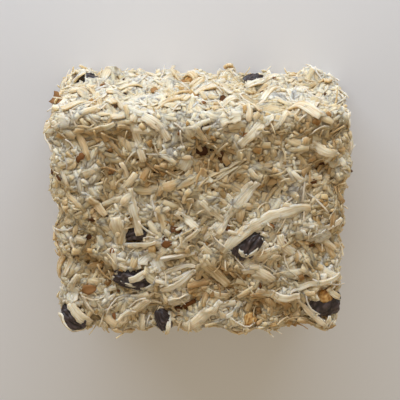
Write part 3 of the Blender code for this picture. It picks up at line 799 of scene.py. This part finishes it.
# Broad flakes
# Shavings from a wide blade: thin, a few millimetres across, cupped as they dried.
# The ones seen best: middle x and y in mm, turn in degrees, length and width in mm
UPPER_FLAKES = (
    (-3.0, 14.6, 65, 3.4, 2.8),
    (-19.3, 18.6, 40, 3.2, 2.4),
    (19.3, -24.0, 10, 4.4, 2.4),
    (-4.8, -17.0, 15, 4.4, 2.6),
    (-28.0, -16.0, 60, 4.0, 2.4),
    (22.8, 19.4, 15, 4.4, 3.0),
    (27.4, 15.6, -50, 4.0, 2.6),
    (-11.6, -7.0, 30, 4.2, 3.0),
    (-9.2, -8.6, -60, 3.6, 2.4),
    (1.4, 10.2, -10, 4.6, 2.6),
    (26.0, -1.6, 20, 4.0, 2.6),
    (-28.2, 24.4, -15, 4.4, 3.0),
    (6.0, 25.2, 20, 4.4, 2.6),
)
FLAKE_SPACING, FLAKE_SEED = 10 * MM, 81
UPPER_FLAKE_TONE = 1.25
flake_rng = np.random.default_rng(FLAKE_SEED)
flake_rows = shred_rows(FLAKE_SPACING, flake_rng, length=(2.6 * MM, 5.5 * MM),
                        width=(1.6 * MM, 2.8 * MM), thick=(0.16 * MM, 0.28 * MM),
                        lift=(0.3 * MM, 0.7 * MM), tilt=0.25, end=1.0 * MM, bend=0.6, roll=0.6,
                        cup=0.3)
shown_flakes = len(UPPER_FLAKES)
upper_flakes = listed_rows(UPPER_FLAKES) | {
    "thick": np.full(shown_flakes, 0.3 * MM),
    "lift": np.full(shown_flakes, 0.7 * MM),
    "tilt": flake_rng.uniform(-0.15, 0.15, shown_flakes),
    "end": np.zeros(shown_flakes),
    "bend": flake_rng.uniform(-0.4, 0.4, shown_flakes),
    "roll": flake_rng.uniform(-0.4, 0.4, shown_flakes),
    "cup": flake_rng.uniform(-0.25, 0.25, shown_flakes),
}
flake_rows = {key: np.concatenate((flake_rows[key], upper_flakes[key])) for key in flake_rows}
# Coconut shaved thin, dried: pale, with fibres that show only faintly
flake_mat = dried_coconut("shaved_coconut", FLESH, streaks=0.4)
flake_tones = flake_rng.uniform(0.5, 0.9, len(flake_rows["lift"]))
flake_tones[-shown_flakes:] = UPPER_FLAKE_TONE
shreds("broad_flakes", flake_rows, 8, CUPPED_RING, flake_mat, flake_tones, flake_rng,
       on_toppings=0.3, narrowing=0.35, ragged=0.3)

# Flecks of brown skin
# Bits of the nut's brown inner skin that the paring left on: thin reddish-brown scales.
# The ones seen best: x and y in mm, and size in mm
UPPER_SKIN = (
    (-24.5, 16.4, 2.4), (-24.2, -14.2, 3.2), (-6.9, -3.0, 2.6), (-5.1, -0.3, 2.2),
    (-2.4, -18.8, 3.0), (-4.2, -20.2, 2.6), (0.4, 16.9, 2.2), (4.4, 15.9, 2.0),
    (23.6, -4.6, 1.8), (-16.0, 13.6, 1.5), (-22.8, 2.0, 1.4), (-23.8, -2.4, 1.6),
    (15.2, 1.0, 1.4), (13.2, -13.8, 1.3), (25.2, 14.2, 1.5), (-19.0, -21.4, 1.4),
)
# On the far side: x and height over the base in mm, and size in mm
FAR_SKIN = (
    (-29.4, 22.0, 3.4), (0.8, 9.4, 2.2), (-3.8, 8.0, 2.0), (13.6, 18.0, 1.6),
    (-9.8, 17.0, 1.4), (5.0, 20.0, 1.5), (-21.0, 15.0, 1.3),
)
SKIN_SPACING, SKIN_SEED = 16 * MM, 91
skin_rng = np.random.default_rng(SKIN_SEED)
skin_places = spread(SKIN_SPACING, 0.0, skin_rng)
skin_sizes = skin_rng.uniform(0.6 * MM, 1.7 * MM, len(skin_places))
listed_skin = np.array(UPPER_SKIN) * MM
far_skin = np.array(FAR_SKIN) * MM
skin_places = np.concatenate((
    np.column_stack((listed_skin[:, :2], np.full(len(listed_skin), THICKNESS))),
    np.column_stack((far_skin[:, 0], np.full(len(far_skin), HALF[1]), far_skin[:, 1])),
    skin_places))
skin_sizes = np.concatenate((listed_skin[:, 2], far_skin[:, 2], skin_sizes))
skin_count = len(skin_places)
skin_rows = {
    "middle": skin_places,
    "heading": skin_rng.normal(size=(skin_count, 3)),
    "length": skin_sizes,
    "width": skin_sizes * skin_rng.uniform(0.45, 0.8, skin_count),
    "thick": np.full(skin_count, 0.2 * MM),
    "lift": skin_rng.uniform(0.8 * MM, 1.1 * MM, skin_count),
    "tilt": skin_rng.uniform(-0.25, 0.25, skin_count),
    "end": np.zeros(skin_count),
    "bend": skin_rng.uniform(-0.3, 0.3, skin_count),
    "roll": skin_rng.uniform(-0.5, 0.5, skin_count),
    "cup": skin_rng.uniform(-0.2, 0.2, skin_count),
}
# Inner skin of the coconut: dull red-brown, rough as paper
skin_mat = dried_coconut("brown_coconut_skin", (
    (0.0, "#432814"), (0.4, "#64401F"), (0.8, "#855A34"), (1.0, "#A37C50")), subsurface=0.0)
shreds("skin_flecks", skin_rows, 4, CUPPED_RING, skin_mat,
       0.3 + 0.7 * skin_rng.random(skin_count), skin_rng, narrowing=0.4, ragged=0.6)

# Crumbs of nut and raisin
# Crumbs that broke off the chopped nuts and the raisins, and stuck on with the coconut.
NUT_CRUMB_SPACING, NUT_CRUMB_SEED = 4.6 * MM, 101
crumb_rng = np.random.default_rng(NUT_CRUMB_SEED)
crumb_places = spread(NUT_CRUMB_SPACING, 0.1, crumb_rng)
crumb_count = len(crumb_places)
crumb_sizes = (crumb_rng.uniform(0.5 * MM, 1.7 * MM, (crumb_count, 1))
               * crumb_rng.uniform(0.6, 1.1, (crumb_count, 3)))
# Chopped nut: matt, honey to light brown
crumb_mat = dried_coconut("nut_crumbs", (
    (0.0, "#80603A"), (0.4, "#AA8958"), (0.8, "#C6AB7C"), (1.0, "#D9C69E")))
chips("nut_crumbs", crumb_places, crumb_sizes, crumb_rng.uniform(0.0, 0.35 * MM, crumb_count),
      crumb_mat, 0.3 + 0.7 * crumb_rng.random(crumb_count), crumb_rng)

RAISIN_CRUMB_SPACING, RAISIN_CRUMB_SEED = 11 * MM, 111
dark_rng = np.random.default_rng(RAISIN_CRUMB_SEED)
dark_places = spread(RAISIN_CRUMB_SPACING, 0.5, dark_rng)
dark_count = len(dark_places)
dark_sizes = (dark_rng.uniform(0.3 * MM, 1.0 * MM, (dark_count, 1))
              * dark_rng.uniform(0.5, 1.2, (dark_count, 3)))
# Raisin in crumbs: dark brown, and too small to shine
dark_mat = dried_coconut("raisin_crumbs", (
    (0.0, "#20140C"), (0.5, "#3E2818"), (1.0, "#5E3E26")), subsurface=0.0)
chips("raisin_crumbs", dark_places, dark_sizes, dark_rng.uniform(0.2 * MM, 0.6 * MM, dark_count),
      dark_mat, dark_rng.random(dark_count), dark_rng)

# Raisins
# Sun-dried grapes, shrunk on to their flesh so that the skin stands in long wrinkles; they are
# a little sticky, and hold a dust of coconut.
RAISIN_GRID = 80, 46
FOLD_SEED, WRINKLE_SEED = 100, 300      # the first raisin's are one more
SLOW_WAVE, QUICK_WAVE = 1.9, 1.1        # of the bends in its wrinkles, on a ball of radius 1
DUST_WIDTH = 0.8 * MM


def ball_ways(sides, rings):
    """Directions all round, from one pole along the first axis to the other, ring by ring, and
    the faces between them."""
    polar = np.pi * np.arange(1, rings) / rings
    turn = 2 * np.pi * np.arange(sides) / sides
    p, r = np.meshgrid(polar, turn, indexing="ij")
    ring = np.stack((np.cos(p), np.sin(p) * np.cos(r), np.sin(p) * np.sin(r)), -1).reshape(-1, 3)
    ways = np.concatenate((((1.0, 0, 0),), ring, ((-1.0, 0, 0),)))
    k = np.arange(sides)
    after = (k + 1) % sides
    starts = 1 + np.arange(rings - 2)[:, None, None] * sides
    quads = (starts + np.stack((k, k + sides, after + sides, after), -1)).reshape(-1, 4)
    end = len(ways) - 1
    first = np.column_stack((np.zeros(sides, int), 1 + k, 1 + after))
    last = np.column_stack((end - sides + after, end - sides + k, np.full(sides, end)))
    return ways, quads.tolist() + first.tolist() + last.tolist()


def topping_points(index, ways, reach):
    """Points of a topping: its reach in each direction, stretched to size, turned, and sunk into
    the coating at its seat."""
    place, axes = seats[index]
    size = topping_sizes[index]
    points = place - axes[2] * topping_sinks[index] * size[2] + (
        ways * reach[:, None] * size / 2) @ axes
    points[:, 2] = np.maximum(points[:, 2], 0)
    return points


def folds(ways, seed):
    """The raisin's large folds: the mean of three waves' absolute sines."""
    rng = np.random.default_rng(seed)
    waves = rng.normal(size=(3, 3)) * 2.6
    phases = rng.uniform(0, np.pi, 3)
    return 0.76 + 0.34 * np.abs(np.sin(ways @ waves.T + phases)).mean(axis=-1)


def wrinkles(ways, seed):
    """The raisin's wrinkles, 0 in a crease and 1 on a ridge: nine ridges run along it and
    seventeen finer ones cross them at a slant, all bent by slow waves, and the skin between two
    creases is round. They fade towards the tips, where they meet."""
    turn = np.arctan2(ways[:, 2], ways[:, 1])
    slow, quick = ripple(ways, SLOW_WAVE, seed), ripple(ways, QUICK_WAVE, seed + 50)
    main = np.abs(np.sin((9 * turn + 4.5 * slow + 2.0 * ways[:, 0]) / 2))
    fine = np.abs(np.sin((17 * turn + 5.0 * quick + 9.0 * ways[:, 0]) / 2))
    across = np.abs(np.sin(4.2 * ways[:, 0] + 2.2 * quick))
    fade = np.clip(1.3 * np.hypot(ways[:, 1], ways[:, 2]), 0, 1)
    height = 0.45 * main**0.8 + 0.3 * fine + 0.25 * across
    return height * fade + 0.6 * (1 - fade)


def raisin_skin():
    """Raisin skin, desiccated in the sun: brown-black, with painted shade in the creases and
    painted highlight on the ridges, waxy where no dust lies, and dusty in patches.
    """
    mat = bpy.data.materials.new("raisin_skin")
    mat.use_nodes = True
    tree = mat.node_tree
    shader = tree.nodes["Principled BSDF"]
    place = add(tree, "ShaderNodeTexCoord").outputs["Object"]
    tone = add(tree, "ShaderNodeAttribute", attribute_name="tone").outputs["Fac"]
    skin = colour_stops(add(tree, "ShaderNodeValToRGB", {"Fac": tone}), (
        (0.0, "#0B0809"), (0.4, "#1D1516"), (0.75, "#34292A"), (1.0, "#584B4B")))
    dust = add(tree, "ShaderNodeTexNoise", {"Vector": place, "Scale": 1 / DUST_WIDTH,
                                            "Detail": 3.0, "Roughness": 0.7}).outputs["Fac"]
    cover = add(tree, "ShaderNodeMapRange", {"Value": dust, "From Min": 0.55, "From Max": 0.7,
                                             "To Min": 0.0, "To Max": 0.5}).outputs["Result"]
    colour = add(tree, "ShaderNodeMix", {"Factor": cover, "A": skin, "B": linear("#75675A")},
                 data_type="RGBA").outputs["Result"]
    tree.links.new(colour, shader.inputs["Base Color"])
    rough = add(tree, "ShaderNodeMapRange", {"Value": dust, "From Min": 0.4, "From Max": 0.65,
                                             "To Min": 0.28, "To Max": 0.65}).outputs["Result"]
    tree.links.new(rough, shader.inputs["Roughness"])
    shader.inputs["Specular IOR Level"].default_value = 0.5
    return mat


skin_of_raisin = raisin_skin()
raisin_ways, raisin_faces = ball_ways(*RAISIN_GRID)
for number in range(1, len(RAISINS) + 1):
    ridge = wrinkles(raisin_ways, WRINKLE_SEED + number)
    reach = folds(raisin_ways, FOLD_SEED + number) * (0.80 + 0.26 * ridge)
    # The wrinkles' height is also the skin's tone: painted shade in the creases, painted highlight
    # on the ridges
    piece = new_piece(f"raisin_flesh_{number:02d}", topping_points(number - 1, raisin_ways, reach),
                      raisin_faces, skin_of_raisin, ridge)
    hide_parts(f"raisin_{number:02d}")

# Chopped nuts
# Blanched nuts chopped coarsely: tan, with flat broken faces and sharp edges.
NUT_GRID = 44, 30
BREAK_SEED, GRIT_SEED = 200, 400        # the first nut's are one more
GRIT_WAVE = 0.5                 # on a ball of radius 1


def broken(ways, seed):
    """Reach of a ball cut by seeded planes, so that it is all flat facets."""
    rng = np.random.default_rng(seed)
    planes = rng.normal(size=(9, 3))
    planes /= np.linalg.norm(planes, axis=1, keepdims=True)
    depths = rng.uniform(0.72, 0.95, 9)
    return np.minimum(1, 1 / np.maximum((ways @ planes.T / depths).max(axis=1), 1e-6))


# Broken nut kernel: matt and pale, toasted to light brown on what was the outside
nut_mat = dried_coconut("chopped_nut", (
    (0.0, "#7A5128"), (0.3, "#A67C45"), (0.7, "#C6A269"), (1.0, "#D8BC88")))
nut_ways, nut_faces = ball_ways(*NUT_GRID)
for number in range(1, len(NUTS) + 1):
    grit = ripple(nut_ways, GRIT_WAVE, GRIT_SEED + number)
    reach = broken(nut_ways, BREAK_SEED + number) * (0.985 + 0.015 * grit)
    piece = new_piece(f"nut_kernel_{number}",
                      topping_points(len(RAISINS) + number - 1, nut_ways, reach),
                      nut_faces, nut_mat, np.clip(0.5 + 0.45 * grit, 0, 1))
    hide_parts(f"nut_piece_{number}")

# Studio
# A pale matt table, a soft window low behind the cake and a pale room round it; the camera looks
# down on the cake from the side of its lit strip, with that strip at the top of the picture.
CAMERA_ELEVATION = math.radians(66)
CAMERA_DISTANCE = 190 * MM
CAMERA_LENS = 76
AIM = Vector((0, 0.001, 0.018))
WINDOW_ELEVATION = math.radians(21)
WINDOW_DISTANCE = 0.36
WINDOW_SIZE = (0.46, 0.21)
WINDOW_WATTS = 1.55
WINDOW_COLOUR = (0.78, 0.86, 1.0)
WINDOW_LEFT = 0.12              # how far it stands to the left, as a share of its distance
ROOM_LIGHT = 0.49
TABLE_SIZE = 3.0

table_mesh = bpy.data.meshes.new("table_top")
table_mesh.from_pydata([(x * TABLE_SIZE, y * TABLE_SIZE, 0) for x, y in
                        ((-1, -1), (1, -1), (1, 1), (-1, 1))], [], [(0, 1, 2, 3)])
# Matt paint, rolled on: even and dull, a little cool
table_mat = bpy.data.materials.new("matt_table_paint")
table_mat.use_nodes = True
table_shader = table_mat.node_tree.nodes["Principled BSDF"]
table_shader.inputs["Base Color"].default_value = linear("#E3E8EE")
table_shader.inputs["Roughness"].default_value = 0.6
table_mesh.materials.append(table_mat)
table_top = bpy.data.objects.new("table_top", table_mesh)
bpy.context.scene.collection.objects.link(table_top)


def aimed(location, up):
    """A turn that looks from the location at the aim, with the given way up in the picture."""
    back = (location - AIM).normalized()
    right = Vector(up).cross(back).normalized()
    turn = Matrix((right, back.cross(right), back)).transposed()
    return Matrix.Translation(location) @ turn.to_4x4()


window = bpy.data.lights.new("window", "AREA")
window.shape = "RECTANGLE"
window.size, window.size_y = WINDOW_SIZE
window.energy = WINDOW_WATTS
window.color = WINDOW_COLOUR
window_object = bpy.data.objects.new("window", window)
window_object.matrix_world = aimed(AIM + WINDOW_DISTANCE * Vector(
    (-WINDOW_LEFT, math.cos(WINDOW_ELEVATION), math.sin(WINDOW_ELEVATION))), (0, 0, 1))
bpy.context.scene.collection.objects.link(window_object)

world = bpy.data.worlds.new("pale_room")
world.use_nodes = True
world.node_tree.nodes["Background"].inputs["Color"].default_value = linear("#FFE9CB")
world.node_tree.nodes["Background"].inputs["Strength"].default_value = ROOM_LIGHT
bpy.context.scene.world = world
bpy.context.scene.view_settings.view_transform = "Standard"

camera = bpy.data.cameras.new("camera")
camera.lens = CAMERA_LENS
camera.clip_start, camera.clip_end = 0.01, 20
camera_object = bpy.data.objects.new("camera", camera)
camera_object.matrix_world = aimed(AIM + CAMERA_DISTANCE * Vector(
    (0, math.cos(CAMERA_ELEVATION), math.sin(CAMERA_ELEVATION))), (0, 1, 0))
bpy.context.scene.collection.objects.link(camera_object)
bpy.context.scene.camera = camera_object
